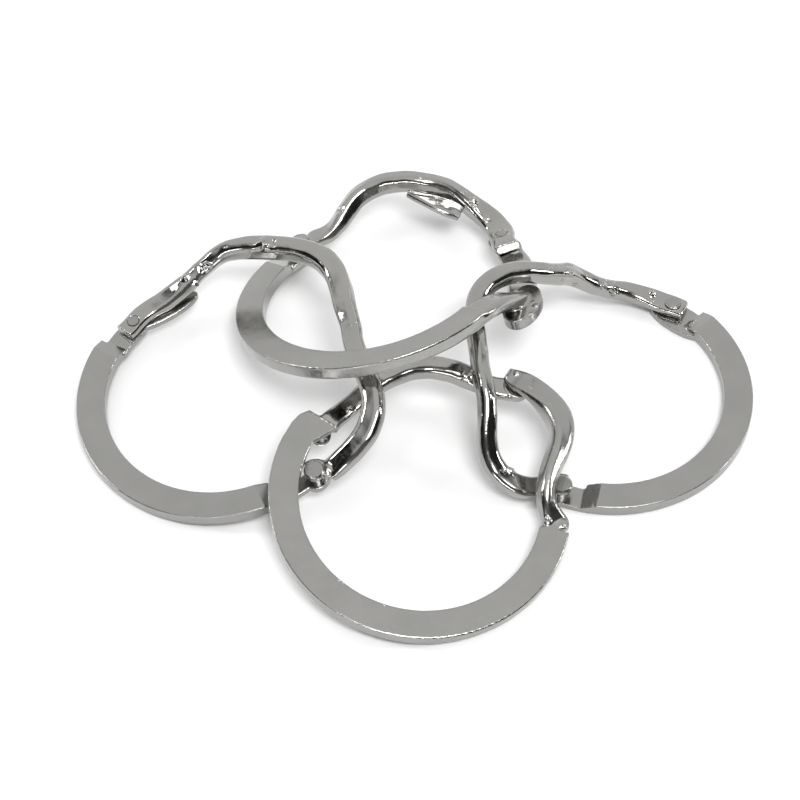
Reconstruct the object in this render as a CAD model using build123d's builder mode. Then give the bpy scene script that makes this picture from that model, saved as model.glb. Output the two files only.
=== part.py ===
from build123d import *
from dataclasses import dataclass, field
from math import atan2, degrees, hypot, sqrt
import os

# Puzzle key ring: four hinged rings of plated zinc, linked in a closed chain and lying in a heap.
# Each ring is a flat horseshoe shank, a wavy gate riveted to one end of it, and a latch post
# at the other end that the notch in the gate's free end pushes on to.
# World frame: +Z up, the table is Z = 0, the origin is the middle of the footprint.
# Ring frame: the ring's centre, its mid-plane is z = 0 and its flat upper side faces +z.

# ---- driving dimensions, mm -------------------------------------------------------------
outer_radius = 20.0
inner_radius = 16.0
thickness = 1.9
half = thickness / 2
band_width = outer_radius - inner_radius

lap_gap = 0.05                 # between the two halves of a lap
lap_width = 3.4                # of a tongue and of a gate's flat end
rivet_radius = 0.8
rivet_fit = 0.05               # radial play of a gate on its rivet
rivet_head_radius = 1.15
post_radius = 1.4
post_neck_radius = 1.0
post_spigot_radius = 0.8
post_head_height = 0.8
notch_fit = 0.08               # radial play of a gate's notch round the post's neck
gate_end_thickness = 1.45
notch_end_radius = 2.2         # of the gate's end round the post
edge_radius = 0.2              # cast edges of the shanks
eye_room = 2.6                 # flat seat on a neck for the gate's eye, and clear height over it
spotface_depth = 1.2           # cleared round a rivet head where the strand rises
leaf_thickness = 1.1           # of the leaf that ends the front shank
skin = 0.3                     # left over the front shank's pins, which stand in blind holes
ramp_length = 2.0              # slope from the band's face down to a tongue
ramp_foot = 0.1                # height of the ramp's low end over the tongue
overlap_angle = 3              # how far a tongue runs into the full-thickness band
bore_reach = 10                # half-length of the cutters for bores
cast_radius = 1.0              # greatest corner radius of a strand's section

heap_shift = (-2.15, 1.95)       # puts the middle of the heap's footprint at the origin


@dataclass
class Ring:
    """Where one ring lies, where its rivet and its post stand, and how its parts lap."""

    name: str
    centre: tuple              # of the ring, seen from above
    rise: tuple                # how fast its plane climbs towards +X and +Y
    band: tuple                # full-thickness arc of the shank: first angle and size, degrees
    hinge: tuple               # rivet, in the ring frame
    hinge_level: float         # height of the face where shank and gate meet at the rivet
    latch: tuple               # post, in the ring frame
    head: float                # how far the rivet's head stands over the gate, 0 when flush
    reach: float               # how far the gate runs on past its rivet
    side: int                  # +1 when the gate's ends lie over the tongues, -1 when under them
    opens: int                 # +1 when the gate swings open anticlockwise seen from above
    plane: Plane = field(init=False)

    def __post_init__(self):
        level = 1 / sqrt(1 + self.rise[0] ** 2 + self.rise[1] ** 2)
        height = outer_radius * sqrt(1 - level**2) + half * level
        self.plane = Plane(
            origin=(self.centre[0] + heap_shift[0], self.centre[1] + heap_shift[1], height),
            x_dir=(1, 0, self.rise[0]),
            z_dir=(-self.rise[0], -self.rise[1], 1),
        )

    def upright(self, point):
        """Plane through the ring's axis direction at a point: its y axis is the ring's z."""
        return Plane(
            origin=self.plane.from_local_coords((*point, 0)),
            x_dir=self.plane.x_dir,
            z_dir=-self.plane.y_dir,
        )

    def swing(self):
        """Unit vector along which the gate's notch leaves the post."""
        reach = Vector(*self.latch) - Vector(*self.hinge)
        return reach.rotate(Axis.Z, 90 * self.opens).normalized()


left = Ring("left", (-24.35, -1.3), (0.10, 0.07), (150, 145),
            (-12.7, 11.9), 0, (13.2, -14.3), 0, 1.9, 1, 1)
right = Ring("right", (28.6, 0.9), (0.0, 0.0), (-103, 147),
             (10.0, 14.3), 0, (-7.1, -17.0), 0.3, 1.9, 1, -1)
front = Ring("front", (2.65, -19.35), (-0.09, 0.145), (156, 192),
             (12.9, 17.0), 1.3, (-13.3, 9.6), 0.3, 0, -1, -1)
top = Ring("top", (-3.3, 13.0), (0.25, -0.335), (143, 181),
           (16.4, 15.0), -5.0, (-12.0, 12.8), 0, 3.4, 1, -1)
rings = (left, right, front, top)

# Stations down the middle of each wavy stretch, in the ring frame:
# x, y, z, width across the band, depth along the ring's axis, twist in degrees.
gate_run = {
    "left": [
        (-11.2, 13.6, 0.8, 2.9, 1.5, 0),
        (-8.4, 15.3, 1.1, 3.0, 1.9, 0),
        (-5.4, 17.2, 2.0, 2.7, 2.5, 10),
        (-2.6, 19.3, 3.0, 2.4, 3.0, 25),
        (0.4, 20.7, 4.2, 2.4, 3.2, 15),
        (4.1, 20.6, 5.0, 2.7, 3.3, 0),
        (9.2, 19.6, 5.6, 2.8, 3.3, 0),
        (13.8, 17.7, 5.8, 3.1, 3.2, 0),
        (16.7, 13.3, 5.6, 3.2, 3.0, 10),
        (17.9, 7.9, 5.4, 2.8, 2.8, 30),
        (19.0, 2.2, 5.3, 2.7, 2.6, 30),
        (21.0, -3.5, 5.2, 3.0, 2.6, 15),
        (21.2, -7.6, 4.2, 3.2, 2.6, 10),
        (19.0, -11.3, 2.9, 3.2, 2.3, 0),
        (16.3, -13.2, 1.4, 3.2, 1.9, 0),
        (15.0, -13.8, 0.8, 3.2, 1.45, 0),
    ],
    "right": [
        (7.6, 15.4, 0.8, 3.3, 1.5, 0),
        (4.1, 16.4, 1.3, 2.9, 2.1, 0),
        (0.7, 16.0, 2.7, 2.5, 2.6, -10),
        (-2.6, 15.8, 4.6, 2.4, 3.0, -20),
        (-6.3, 14.5, 7.7, 2.7, 3.0, 0),
        (-9.9, 12.8, 10.1, 2.7, 2.8, 0),
        (-14.2, 11.4, 11.3, 2.8, 2.7, 0),
        (-17.6, 8.3, 11.3, 2.8, 2.6, 0),
        (-18.6, 4.0, 10.9, 2.6, 2.6, -15),
        (-18.1, -0.9, 10.2, 2.4, 2.6, -30),
        (-17.4, -5.7, 9.0, 2.4, 2.6, -30),
        (-17.0, -9.9, 6.9, 2.5, 2.6, -20),
        (-16.9, -13.1, 4.5, 2.7, 2.6, -10),
        (-15.0, -15.9, 2.4, 3.0, 2.3, 0),
        (-11.6, -16.9, 1.1, 3.2, 1.6, 0),
        (-9.2, -16.4, 0.76, 3.2, 1.34, 0),
    ],
    "front": [
        (11.4, 16.9, 0.4, 3.2, 1.45, 0),
        (9.5, 17.2, 0.3, 3.0, 1.75, 0),
        (6.6, 18.3, 0.4, 3.0, 2.6, 0),
        (2.5, 19.6, 0.4, 3.0, 2.7, 0),
        (-1.6, 19.2, 0.4, 3.0, 2.7, 0),
        (-4.5, 17.8, 0.3, 2.9, 2.5, 0),
        (-7.2, 15.8, -0.2, 2.9, 2.1, 0),
        (-9.3, 13.9, -0.85, 2.9, 1.5, 0),
        (-11.2, 12.1, -0.8, 2.9, 1.4, 0),
        (-12.4, 10.7, -0.8, 3.2, 1.4, 0),
    ],
    "top": [
        (15.8, 17.0, -4.0, 3.8, 1.5, 0),
        (14.4, 18.8, -3.0, 3.7, 2.0, 0),
        (12.2, 19.9, -0.9, 3.4, 2.5, 0),
        (9.6, 20.3, 1.8, 2.9, 2.8, 0),
        (7.1, 20.0, 3.5, 2.8, 2.8, 0),
        (4.1, 20.1, 4.5, 2.8, 2.8, 0),
        (0.0, 20.2, 4.6, 2.8, 2.8, 0),
        (-3.7, 18.7, 3.8, 2.8, 2.8, 15),
        (-5.8, 16.5, 2.4, 2.8, 2.6, 25),
        (-8.5, 14.7, 1.1, 3.1, 1.9, 0),
        (-10.7, 13.9, 0.8, 3.2, 1.45, 0),
    ],
}
neck_run = {
    "front": [
        (17.6, -3.6, 0.0, 3.9, 1.8, 0),
        (17.4, -1.6, 0.3, 3.2, 2.2, 10),
        (16.5, 0.2, 1.4, 2.4, 2.6, 30),
        (16.8, 3.6, 2.2, 2.4, 2.8, 30),
        (18.3, 7.8, 2.3, 2.9, 3.4, 15),
        (18.5, 11.2, 2.2, 3.3, 3.8, 0),
        (17.0, 14.1, 2.1, 3.5, 3.0, 0),
        (15.0, 16.0, 2.35, 3.4, 1.7, 0),
        (13.2, 17.3, 2.1, 3.2, 1.2, 0),
        (11.4, 18.4, 2.05, 1.8, 1.1, 0),
    ],
    "top": [
        (14.4, -10.9, 0.0, 4.0, 1.9, 0),
        (16.5, -8.5, -0.4, 3.8, 2.0, 0),
        (18.1, -5.9, -1.7, 3.5, 2.3, 0),
        (19.2, -3.1, -3.5, 3.8, 2.1, 0),
        (19.5, 2.3, -5.2, 4.2, 1.5, 0),
        (19.0, 7.1, -5.5, 4.2, 1.4, 0),
        (18.0, 10.6, -5.6, 4.0, 1.1, 0),
        (17.2, 13.0, -5.45, 3.6, 0.95, 0),
    ],
}
# Thin shelf under the inner side of the top gate, where its strand leaves the eye.
ledge_run = {
    "top": [
        (10.8, 17.5, -0.9, 2.6, 1.0, 0),
        (9.4, 17.7, 0.3, 3.6, 1.0, 0),
        (6.6, 18.3, 2.0, 3.0, 1.0, 0),
        (4.0, 19.3, 3.2, 1.8, 1.0, 0),
    ],
}
# Flat lobes of the shanks: radius and angle of the middle, length along and width across the
# band, lowest and highest level.
lobes = {
    "left": [(16.9, 121, 10.6, 3.2, -half, 0)],
    "right": [(16.4, 50, 9.0, 3.4, -half, 0)],
    "top": [(22.0, 41, 6.5, 3.6, -5.0 - half, -5.0), (20.5, -12.5, 8.8, 5.2, -4.8, -3.2)],
}
# Pointed end of the front shank's upper half, over the gate's notch.
wedge = {"front": [(-15.0, 12.0), (-11.0, 9.6), (-14.3, 7.2), (-15.0, 5.9), (-18.4, 7.7),
                   (-17.3, 10.0), (-16.3, 11.3)]}


def stations(run):
    """Rounded sections along a run: each plane faces along the run and is twisted about it."""
    points = [Vector(*station[:3]) for station in run]
    sections = []
    for here, (point, station) in enumerate(zip(points, run)):
        along = (points[min(here + 1, len(points) - 1)] - points[max(here - 1, 0)]).normalized()
        across = along.cross(Vector(0, 0, 1)).normalized()
        across = across.rotate(Axis((0, 0, 0), along), station[5])
        sections.append((Plane(origin=point, x_dir=across, z_dir=along), station[3], station[4]))
    return sections


def wavy_run(ring, run):
    """Solid of one wavy stretch, lofted through its stations and placed on its ring."""
    with BuildPart() as stretch:
        for section, width, depth in stations(run):
            with BuildSketch(ring.plane * section):
                RectangleRounded(width, depth, min(cast_radius, 0.4 * depth))
        loft()
    return stretch.part


def polar(point):
    """Radius and angle in degrees of a point in the ring frame."""
    return hypot(*point), degrees(atan2(point[1], point[0]))


def band_end(ring, end):
    """Angle at which the band stops next to a tongue, and +1 if the tongue runs anticlockwise."""
    first, size = ring.band
    angle = polar(end)[1]
    if (first - angle) % 360 < (angle - first - size) % 360:
        return first, -1
    return first + size, 1


def tongue_arc(ring, end):
    """First angle and size of the arc from the full-thickness band to one end of the shank."""
    stop, way = band_end(ring, end)
    angle = polar(end)[1]
    if way < 0:
        return angle, (stop - angle) % 360 + overlap_angle
    return stop - overlap_angle, (angle - stop) % 360 + overlap_angle


def ramp_plane(ring, end):
    """Plane across the band's stop: x runs on along the tongue, y is the lap's side."""
    stop, way = band_end(ring, end)
    middle = Vector((outer_radius + inner_radius) / 2, 0).rotate(Axis.Z, stop)
    start = ring.plane.from_local_coords(middle)
    along = ring.plane.from_local_coords(middle + Vector(0, way).rotate(Axis.Z, stop)) - start
    return Plane(origin=start, x_dir=along, z_dir=along.cross(ring.plane.z_dir * ring.side))


def pin_holes(ring):
    """Lowest and highest level of the holes that the shank's two pins stand in."""
    if ring.name == "front":
        return {ring.hinge: (-bore_reach, ring.hinge_level + leaf_thickness - skin),
                ring.latch: (-bore_reach, half - skin)}
    return {ring.hinge: (-bore_reach, bore_reach), ring.latch: (-bore_reach, bore_reach)}


def shank(ring):
    """Flat horseshoe whose half-thickness ends carry the rivet and the post."""
    with BuildPart() as horseshoe:
        with BuildSketch(ring.plane.offset(-half)):
            with BuildLine():
                outside = CenterArc((0, 0), outer_radius, *ring.band)
                inside = CenterArc((0, 0), inner_radius, *ring.band)
                Line(outside @ 0, inside @ 0)
                Line(outside @ 1, inside @ 1)
            make_face()
        extrude(amount=thickness)
        fillet(horseshoe.edges().filter_by(lambda edge: edge.length > 5 * band_width), edge_radius)

        ends = [ring.latch] if ring.name in neck_run else [ring.hinge, ring.latch]
        for end in ends:
            with BuildSketch(ramp_plane(ring, end)):
                with BuildLine():
                    Polyline((-ramp_length, half), (-ramp_length, band_width),
                             (ramp_length, band_width), (ramp_length, ramp_foot),
                             (0, ramp_foot), close=True)
                make_face()
            extrude(amount=band_width, both=True, mode=Mode.SUBTRACT)
        for end in ends if ring.name not in wedge else []:
            radius = polar(end)[0]
            with BuildSketch(ring.plane):
                with BuildLine():
                    arc = tongue_arc(ring, end)
                    rim = min(radius + lap_width / 2, outer_radius)
                    outside = CenterArc((0, 0), rim, *arc)
                    inside = CenterArc((0, 0), radius - lap_width / 2, *arc)
                    Line(outside @ 0, inside @ 0)
                    Line(outside @ 1, inside @ 1)
                make_face()
                with Locations(end):
                    Circle(lap_width / 2)
            extrude(amount=-ring.side * half)
        if ring.name in wedge:
            with BuildSketch(ring.plane):
                with BuildLine():
                    Polyline(*wedge[ring.name], close=True)
                make_face()
            extrude(amount=-ring.side * half)

        for radius, angle, length, width, low, high in lobes.get(ring.name, []):
            with BuildSketch(ring.plane.offset(low)):
                with PolarLocations(radius, 1, start_angle=angle):
                    Ellipse(width / 2, length / 2)
            extrude(amount=high - low)
        if ring.name in neck_run:
            add(wavy_run(ring, neck_run[ring.name]))
            with BuildSketch(ring.plane.offset(ring.hinge_level)):
                with Locations(ring.hinge):
                    Circle(eye_room)
            extrude(amount=ring.side * eye_room, mode=Mode.SUBTRACT)

        for end, (low, high) in pin_holes(ring).items():
            with BuildSketch(ring.plane.offset(low)):
                with Locations(end):
                    Circle(rivet_radius)
            extrude(amount=high - low, mode=Mode.SUBTRACT)
    return horseshoe.part


def gate(ring):
    """Wavy strand with a flat eye on the rivet and a flat end notched for the post's neck."""
    eye_face = ring.hinge_level + ring.side * lap_gap
    eye_middle = eye_face + ring.side * gate_end_thickness / 2
    eye = (*ring.hinge, eye_middle, gate_run[ring.name][0][3], gate_end_thickness - 0.02, 0)
    onward = (Vector(*ring.hinge) - Vector(*gate_run[ring.name][0][:2])).normalized() * ring.reach
    tip = (ring.hinge[0] + onward.X, ring.hinge[1] + onward.Y, *eye[2:])
    swing = ring.swing()
    turn = degrees(atan2(swing.Y, swing.X))
    shank_side = Vector(*ring.latch) - swing * bore_reach / 2
    with BuildPart() as strand:
        if ring.reach:
            add(wavy_run(ring, [tip, eye, *gate_run[ring.name]]))
        else:
            add(wavy_run(ring, [eye, *gate_run[ring.name]]))
            with BuildSketch(ring.plane.offset(eye_face)):
                with Locations(ring.hinge):
                    Circle(lap_width / 2)
            extrude(amount=ring.side * gate_end_thickness)
        if ring.name in ledge_run:
            add(wavy_run(ring, ledge_run[ring.name]))
        with BuildSketch(ring.plane.offset(ring.side * lap_gap)):
            with Locations(ring.latch):
                Circle(notch_end_radius)
            with Locations(shank_side):
                Rectangle(bore_reach, bore_reach, rotation=turn, mode=Mode.SUBTRACT)
        extrude(amount=ring.side * gate_end_thickness)

        with BuildSketch(ring.plane.offset(-bore_reach)):
            with Locations(ring.hinge):
                Circle(rivet_radius + rivet_fit)
        extrude(amount=2 * bore_reach, mode=Mode.SUBTRACT)
        with BuildSketch(ring.plane.offset(eye_face + ring.side * gate_end_thickness)):
            with Locations(ring.hinge):
                Circle(rivet_head_radius + 0.1)
        extrude(amount=ring.side * spotface_depth, mode=Mode.SUBTRACT)
        with BuildSketch(ring.plane.offset(-3)):
            with Locations(ring.latch):
                Circle(post_neck_radius + notch_fit)
            with Locations(shank_side):
                Rectangle(bore_reach, 2 * (post_neck_radius + notch_fit), rotation=turn)
        extrude(amount=6, mode=Mode.SUBTRACT)
        with BuildSketch(ring.plane.offset(ring.side * (lap_gap + gate_end_thickness))):
            with Locations(ring.latch):
                Circle(post_radius + 0.1)
        extrude(amount=ring.side * spotface_depth, mode=Mode.SUBTRACT)
    return strand.part


def turned(ring, point, outline):
    """Round piece on the ring's axis direction at a point, from its (radius, height) outline."""
    with BuildPart() as piece:
        with BuildSketch(ring.upright(point)) as profile:
            with BuildLine():
                Polyline((0, outline[0][1]), *outline, (0, outline[-1][1]), close=True)
            make_face()
        revolve(axis=Axis(ring.upright(point).origin, ring.plane.z_dir))
    return piece.part


def hinge_rivet(ring):
    """Shaft set fast in the shank; its top is peened flush or to a low head over the gate's eye."""
    level, side = ring.hinge_level, ring.side
    foot = level + leaf_thickness - skin if ring.name == "front" else level - half
    head = level + side * (gate_end_thickness + lap_gap)
    outline = [(rivet_radius, foot), (rivet_radius, head)]
    if ring.head:
        head += side * lap_gap
        outline = [(rivet_radius, foot), (rivet_radius, head), (rivet_head_radius, head),
                   (rivet_head_radius, head + side * ring.head / 2),
                   (rivet_radius, head + side * ring.head)]
    return turned(ring, ring.hinge, outline)


def latch_post(ring):
    """Grooved post set fast in the shank's other end; its head stands over the gate's notch."""
    side = ring.side
    head = gate_end_thickness + 2 * lap_gap
    foot = half - skin if ring.name == "front" else -half
    outline = [(post_spigot_radius, foot), (post_spigot_radius, 0),
               (post_neck_radius, 0), (post_neck_radius, side * head), (post_radius, side * head),
               (post_radius, side * (head + 0.3)), (post_radius - 0.25, side * (head + 0.4)),
               (post_radius, side * (head + 0.5)),
               (post_radius, side * (head + post_head_height - 0.2)),
               (post_radius - 0.2, side * (head + post_head_height))]
    return turned(ring, ring.latch, outline)


os.makedirs("parts", exist_ok=True)
pieces = {"shank": shank, "gate": gate, "hinge_rivet": hinge_rivet, "latch_post": latch_post}
for ring in rings:
    for kind, build in pieces.items():
        piece = build(ring)
        piece.label = ring.name + "_" + kind
        export_step(piece, "parts/" + piece.label + ".step")
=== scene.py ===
import math

import bmesh
import bpy
import numpy as np
from mathutils import Matrix, Vector, noise


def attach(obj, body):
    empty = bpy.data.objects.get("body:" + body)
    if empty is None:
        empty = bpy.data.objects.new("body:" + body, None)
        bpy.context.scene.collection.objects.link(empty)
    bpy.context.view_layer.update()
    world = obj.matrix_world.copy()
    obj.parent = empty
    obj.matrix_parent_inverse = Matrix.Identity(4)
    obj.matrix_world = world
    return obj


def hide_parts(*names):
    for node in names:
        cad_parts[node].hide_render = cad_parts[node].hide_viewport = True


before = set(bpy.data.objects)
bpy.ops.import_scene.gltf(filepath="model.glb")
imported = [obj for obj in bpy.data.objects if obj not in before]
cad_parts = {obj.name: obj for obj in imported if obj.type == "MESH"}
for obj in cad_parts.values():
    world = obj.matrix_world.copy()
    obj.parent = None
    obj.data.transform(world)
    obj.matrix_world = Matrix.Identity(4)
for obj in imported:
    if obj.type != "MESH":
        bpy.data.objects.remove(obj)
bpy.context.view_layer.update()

MM = 0.001
OUTER = 20.0          # radius of a band, mm
HALF = 0.95           # half its thickness, mm
VOXEL = 0.13          # of the remeshed skin, mm
WELD = 0.002          # CAD vertices closer than this are one, mm
SOFTENING = 3         # smoothing rounds over a whole casting
WAVE_SCALE = 0.5      # of the slow waves in a casting's skin, per mm
RAGGED_SCALE = 2.6    # of the noise that roughens nubs and seams, per mm
GATE_WAVES = 0.08     # height of the slow waves, mm
SHANK_WAVES = 0.012
WORN_ROUGHNESS = 0.12  # of edges that have rubbed bright
SCUFF_HEIGHT = 0.0001  # of the grit on those edges, m
SENSOR = 36           # width of the camera's sensor, mm
LENS = 97.69          # its focal length, mm
TILT = 53.75          # how steeply the camera looks down, degrees
DISTANCE = 0.3        # from the camera to what it aims at, m
AIM = (-0.00215, 0.00195, 0)
FLOOR_HALF_SIZE = 2.0
PAPER = (0.86, 0.86, 0.86, 1)

# Each ring: its centre seen from above, in mm, and how fast its plane climbs towards +X and +Y.
RINGS = {"left": ((-26.5, 0.65), (0.10, 0.07)), "right": ((26.45, 2.85), (0.0, 0.0)),
         "front": ((0.5, -17.4), (-0.09, 0.145)), "top": ((-5.45, 14.95), (0.25, -0.335))}

# Where a casting's parts flow into each other: point in its ring's frame and reach, mm, and
# smoothing rounds.
BLENDS = {
    "top_shank": [((13.6, -11.8, 0.6), 4.5, 25), ((20.0, -2.5, -3.4), 4.0, 14),
                  ((-13.5, 12.0, 0.0), 3.0, 8)],
    "front_shank": [((17.4, -2.6, 0.5), 2.6, 8), ((15.5, 15.5, 2.5), 3.5, 8),
                    ((-14.0, 7.6, -0.2), 4.0, 10), ((-15.2, 11.9, 0.5), 2.0, 14)],
    "right_shank": [((10.4, 12.6, -0.3), 3.5, 12), ((-5.0, -17.2, 0.3), 3.0, 14)],
    "left_shank": [((-9.0, 14.0, -0.3), 6.0, 12), ((9.0, -15.6, 0.2), 4.0, 12)],
    "left_gate": [((-5.4, 17.2, 2.0), 4.0, 8), ((15.0, -13.8, 0.8), 3.0, 10)],
    "right_gate": [((-9.2, -16.4, 0.8), 3.0, 10), ((4.1, 16.4, 1.3), 3.0, 8),
                   ((12.4, 15.0, 0.9), 2.0, 90), ((11.0, 12.0, 0.9), 2.0, 90)],
    "front_gate": [((-9.3, 13.9, -0.8), 4.0, 10)],
    "top_gate": [((12.2, 19.9, -0.9), 3.0, 8), ((-8.5, 14.7, 1.1), 3.0, 8)],
}
# Sprue nubs and dents left by casting: point, reach and height, mm.
NUBS = {
    "right_gate": [((7.1, 15.9, 1.6), 0.75, 0.5), ((-13.7, -15.4, 3.3), 0.9, 0.35),
                   ((-0.2, 15.1, 4.4), 0.9, 0.25), ((-5.0, 14.1, 8.6), 1.2, 0.3),
                   ((-4.0, 14.2, 5.0), 1.0, -0.35), ((1.4, 15.2, 2.9), 1.1, -0.35)],
    "left_gate": [((14.8, -14.0, 1.5), 1.0, 0.4), ((-5.2, 17.4, 3.3), 0.8, 0.3),
                  ((-3.9, 16.8, 2.6), 0.7, 0.3), ((6.1, 19.8, 7.0), 1.3, 0.3),
                  ((7.4, 19.6, 6.9), 1.0, -0.25), ((-2.3, 18.3, 4.1), 1.2, -0.3)],
    "front_gate": [((-9.4, 12.8, -0.2), 0.8, 0.3), ((6.0, 18.0, 1.7), 1.0, 0.2)],
    "top_gate": [((13.1, 19.4, -0.1), 0.8, 0.4), ((14.6, 17.6, -2.2), 0.8, 0.2),
                 ((-5.8, 16.5, 3.6), 1.0, -0.3)],
    "front_shank": [((12.6, 18.3, 2.6), 0.6, 0.3), ((16.7, -2.6, 1.0), 0.8, 0.25),
                    ((18.6, -2.9, 1.0), 0.7, 0.2)],
    "top_shank": [((22.0, -5.9, -2.9), 0.7, 0.3), ((21.4, -6.9, -2.9), 0.6, -0.25),
                  ((21.6, -4.8, -2.9), 0.5, 0.2)],
    "right_shank": [((12.8, 11.7, 0.3), 0.8, 0.25)],
}
# Seams and scratches pressed into the skin: two ends, half-width and depth, mm.
SEAMS = {
    "top_gate": [((12.5, 18.7, 0.1), (14.3, 17.3, -2.2), 0.25, 0.2),
                 ((14.3, 17.3, -2.2), (14.9, 15.4, -3.4), 0.25, 0.15)],
    "top_shank": [((18.8, -1.0, -2.9), (18.8, -3.6, -2.7), 0.25, 0.15),
                  ((19.5, -1.2, -2.9), (19.4, -3.6, -2.8), 0.25, 0.15)],
    "right_gate": [((-14.0, 10.2, 11.0), (-6.0, 13.2, 8.2), 0.3, 0.2),
                   ((-17.0, 6.0, 11.6), (-14.0, 10.2, 11.0), 0.3, 0.15)],
    "left_gate": [((8.0, 18.4, 6.4), (14.0, 16.2, 6.6), 0.3, 0.15)],
    "right_shank": [((-3.8, -15.7, 0.9), (-2.9, -20.0, 0.9), 0.3, 0.12)],
}
# Brightness of the studio from front to back and from below to above, at places from 0 to 1.
SIDES = ((0.0, 0.3), (0.22, 0.04), (0.45, 0.01), (0.58, 0.05), (0.67, 0.92), (1.0, 1.0))
CEILING = ((0.0, 0.0), (0.86, 0.0), (0.93, 0.92), (1.0, 1.0))


# ---- looks ---------------------------------------------------------------------------------

def ramp(tree, source, stops):
    """Colour ramp over a socket; each stop is a position and a grey or a colour."""
    node = tree.nodes.new("ShaderNodeValToRGB")
    while len(node.color_ramp.elements) < len(stops):
        node.color_ramp.elements.new(0.5)
    for element, (at, value) in zip(node.color_ramp.elements, stops):
        element.position = at
        element.color = (*value, 1) if isinstance(value, tuple) else (value, value, value, 1)
    tree.links.new(source, node.inputs["Fac"])
    return node.outputs["Color"]


def plated(name, colour, rough, grain, pits):
    """Nickel-chrome plating on a tumbled casting: fine grain, soft dents and bright worn edges.

    grain and pits are heights in metres.
    """
    mat = bpy.data.materials.new(name)
    mat.use_nodes = True
    tree = mat.node_tree
    shader = tree.nodes["Principled BSDF"]
    shader.inputs["Metallic"].default_value = 1.0
    place = tree.nodes.new("ShaderNodeTexCoord")

    def clouds(scale, detail, roughness):
        node = tree.nodes.new("ShaderNodeTexNoise")
        node.inputs["Scale"].default_value = scale
        node.inputs["Detail"].default_value = detail
        node.inputs["Roughness"].default_value = roughness
        tree.links.new(place.outputs["Object"], node.inputs["Vector"])
        return node.outputs["Fac"]

    def bump(height, strength, distance, under=None):
        node = tree.nodes.new("ShaderNodeBump")
        node.inputs["Strength"].default_value = strength
        node.inputs["Distance"].default_value = distance
        tree.links.new(height, node.inputs["Height"])
        if under:
            tree.links.new(under, node.inputs["Normal"])
        return node.outputs["Normal"]

    dents = clouds(160, 4, 0.55)
    fine = clouds(2600, 3, 0.6)
    grit = clouds(4200, 2, 0.7)
    shade = tuple(0.9 * channel for channel in colour)
    tree.links.new(ramp(tree, dents, [(0.3, shade), (0.7, colour)]), shader.inputs["Base Color"])

    geometry = tree.nodes.new("ShaderNodeNewGeometry")
    edge = ramp(tree, geometry.outputs["Pointiness"], [(0.5, 0.0), (0.56, 1.0)])
    dull = tree.nodes.new("ShaderNodeMapRange")
    dull.inputs["From Min"].default_value = 0.3
    dull.inputs["From Max"].default_value = 0.7
    dull.inputs["To Min"].default_value = rough - 0.05
    dull.inputs["To Max"].default_value = rough + 0.07
    tree.links.new(fine, dull.inputs["Value"])
    worn = tree.nodes.new("ShaderNodeMix")
    tree.links.new(edge, worn.inputs[0])
    tree.links.new(dull.outputs["Result"], worn.inputs[2])
    worn.inputs[3].default_value = WORN_ROUGHNESS
    tree.links.new(worn.outputs[0], shader.inputs["Roughness"])

    # Grain all over, and grit only where an edge has rubbed on other metal.
    scuffs = tree.nodes.new("ShaderNodeMath")
    scuffs.operation = "MULTIPLY"
    tree.links.new(grit, scuffs.inputs[0])
    tree.links.new(edge, scuffs.inputs[1])
    skin = bump(fine, 0.5, grain, under=bump(dents, 0.5, pits))
    skin = bump(scuffs.outputs["Value"], 0.6, SCUFF_HEIGHT, under=skin)
    tree.links.new(skin, shader.inputs["Normal"])
    return mat


CAST = plated("cast_plating", (0.36, 0.357, 0.345), 0.2, 0.000014, 0.00009)
STRAND = plated("strand_plating", (0.38, 0.376, 0.362), 0.09, 0.000008, 0.00014)
PIN = plated("pin_plating", (0.34, 0.337, 0.327), 0.22, 0.000012, 0.00006)


# ---- cast pieces ---------------------------------------------------------------------------

def ring_frame(name):
    """Matrix from one ring's frame, in mm, to the world, in mm."""
    (x, y), (rise_x, rise_y) = RINGS[name]
    up = Vector((-rise_x, -rise_y, 1)).normalized()
    along = Vector((1, 0, rise_x)).normalized()
    height = OUTER * math.sqrt(1 - up.z ** 2) + HALF * up.z
    turn = Matrix((along, up.cross(along), up)).transposed()
    return Matrix.Translation((x, y, height)) @ turn.to_4x4()


def falloff(distance, reach):
    """1 at no distance, easing to 0 at the reach."""
    return np.clip(1 - (distance / reach) ** 2, 0, 1) ** 2


def to_segment(points, a, b):
    """Distance of each point from the straight line between two points."""
    span = b - a
    t = np.clip((points - a) @ span / (span @ span), 0, 1)
    return np.linalg.norm(points - a - t[:, None] * span, axis=1)


def points_of(mesh):
    """The mesh's vertices as an array with one row each."""
    flat = np.empty(3 * len(mesh.vertices))
    mesh.vertices.foreach_get("co", flat)
    return flat.reshape(-1, 3)


def evaluated(piece):
    """The piece's mesh with its modifiers applied; the modifiers are then removed."""
    mesh = bpy.data.meshes.new_from_object(
        piece.evaluated_get(bpy.context.evaluated_depsgraph_get()))
    piece.modifiers.clear()
    piece.data = mesh
    return mesh


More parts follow.
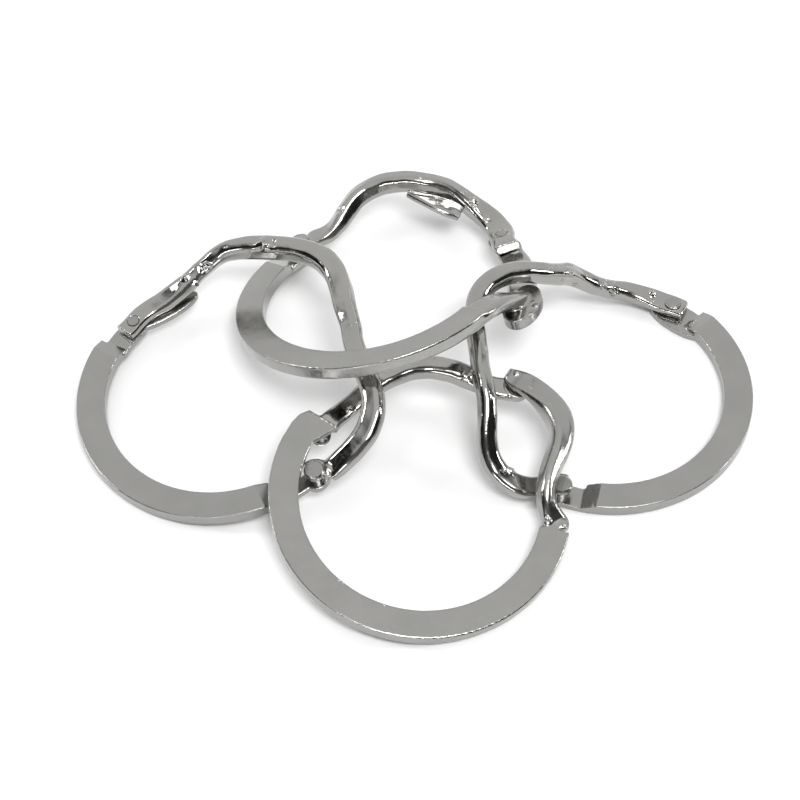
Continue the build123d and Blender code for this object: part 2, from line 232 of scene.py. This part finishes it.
def cast(node, body, mat):
    """A piece with the softened skin of a tumbled casting, made over the CAD piece of that name."""
    place = ring_frame(node.split("_")[0])
    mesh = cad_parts[node].data.copy()
    mesh.transform(place.inverted() @ Matrix.Scale(1 / MM, 4))
    piece = bpy.data.objects.new(node + "_cast", mesh)
    bpy.context.scene.collection.objects.link(piece)
    build = bmesh.new()
    build.from_mesh(mesh)
    bmesh.ops.remove_doubles(build, verts=build.verts, dist=WELD)
    build.to_mesh(mesh)
    build.free()
    skin = piece.modifiers.new("skin", "REMESH")
    skin.mode = "VOXEL"
    skin.voxel_size = VOXEL
    mesh = evaluated(piece)

    points = points_of(mesh)
    for number, (centre, reach, times) in enumerate(BLENDS.get(node, [])):
        weights = falloff(np.linalg.norm(points - np.array(centre), axis=1), reach) ** 0.5
        group = piece.vertex_groups.new(name=f"blend_{number}")
        for index in np.nonzero(weights > 0.02)[0]:
            group.add([int(index)], float(weights[index]), "REPLACE")
        flow = piece.modifiers.new(group.name, "SMOOTH")
        flow.factor = 0.5
        flow.iterations = times
        flow.vertex_group = group.name
    soft = piece.modifiers.new("soft", "SMOOTH")
    soft.factor = 0.5
    soft.iterations = SOFTENING
    mesh = evaluated(piece)
    piece.vertex_groups.clear()

    points = points_of(mesh)
    normals = np.array([vertex.normal for vertex in mesh.vertices])
    push = np.zeros(len(points))
    for centre, reach, height in NUBS.get(node, []):
        push += height * falloff(np.linalg.norm(points - np.array(centre), axis=1), reach)
    for start, end, reach, depth in SEAMS.get(node, []):
        push -= depth * falloff(to_segment(points, np.array(start), np.array(end)), reach)
    ragged = np.array([noise.noise(Vector(p) * RAGGED_SCALE) for p in points])
    push *= 1 + 0.9 * ragged
    waves = np.array([noise.noise(Vector(p) * WAVE_SCALE) for p in points])
    push += (GATE_WAVES if "gate" in node else SHANK_WAVES) * waves
    points += push[:, None] * normals
    mesh.vertices.foreach_set("co", points.ravel())
    mesh.transform(Matrix.Scale(MM, 4) @ place)
    mesh.materials.clear()
    mesh.materials.append(mat)
    for polygon in mesh.polygons:
        polygon.use_smooth = True
    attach(piece, body)
    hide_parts(node)
    return piece


for name in RINGS:
    cast(name + "_shank", name + "_ring", CAST)
    cast(name + "_gate", name + "_gate", STRAND)
    for kind in ("hinge_rivet", "latch_post"):
        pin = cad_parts[name + "_" + kind]
        pin.data.materials.clear()
        pin.data.materials.append(PIN)


# ---- stage ---------------------------------------------------------------------------------

floor_mesh = bpy.data.meshes.new("floor")
build = bmesh.new()
bmesh.ops.create_grid(build, x_segments=1, y_segments=1, size=FLOOR_HALF_SIZE)
build.to_mesh(floor_mesh)
build.free()
floor = bpy.data.objects.new("floor", floor_mesh)
bpy.context.scene.collection.objects.link(floor)
paper = bpy.data.materials.new("paper")
paper.use_nodes = True
sheet = paper.node_tree.nodes["Principled BSDF"]
sheet.inputs["Base Color"].default_value = PAPER
sheet.inputs["Roughness"].default_value = 0.9
floor_mesh.materials.append(paper)


def softbox(name, place, size, power):
    """Lamp that faces the middle of the heap."""
    lamp = bpy.data.lights.new(name, "AREA")
    lamp.shape = "RECTANGLE"
    lamp.size, lamp.size_y = size
    lamp.energy = power
    box = bpy.data.objects.new(name, lamp)
    box.location = place
    box.rotation_euler = (-Vector(place)).to_track_quat("-Z", "Y").to_euler()
    bpy.context.scene.collection.objects.link(box)


softbox("overhead", (0.15, -0.35, 0.85), (0.35, 0.3), 5)
softbox("left_strip", (-0.8, 0.1, 0.45), (0.08, 0.5), 2.5)
softbox("right_strip", (0.8, 0.0, 0.4), (0.08, 0.4), 2.5)
softbox("front_strip", (-0.3, -0.9, 0.3), (0.6, 0.06), 2)

# Studio dome: a bright wall behind, dark sides, a dim front and a bright ceiling.
world = bpy.data.worlds.new("studio")
bpy.context.scene.world = world
world.use_nodes = True
dome = world.node_tree
ray = dome.nodes.new("ShaderNodeTexCoord")
split = dome.nodes.new("ShaderNodeSeparateXYZ")
dome.links.new(ray.outputs["Generated"], split.inputs["Vector"])
brighter = dome.nodes.new("ShaderNodeMath")
brighter.operation = "MAXIMUM"
for socket, axis, stops in zip(brighter.inputs, "YZ", (SIDES, CEILING)):
    span = dome.nodes.new("ShaderNodeMapRange")
    span.inputs["From Min"].default_value = -1
    dome.links.new(split.outputs[axis], span.inputs["Value"])
    dome.links.new(ramp(dome, span.outputs["Result"], stops), socket)
dome.links.new(brighter.outputs["Value"], dome.nodes["Background"].inputs["Color"])
dome.nodes["Background"].inputs["Strength"].default_value = 1.0
bpy.context.scene.view_settings.view_transform = "Standard"

lens = bpy.data.cameras.new("camera")
lens.sensor_width = SENSOR
lens.lens = LENS
camera = bpy.data.objects.new("camera", lens)
tilt = math.radians(TILT)
camera.location = Vector(AIM) + DISTANCE * Vector((0, -math.cos(tilt), math.sin(tilt)))
camera.rotation_euler = (math.pi / 2 - tilt, 0, 0)
bpy.context.scene.collection.objects.link(camera)
bpy.context.scene.camera = camera
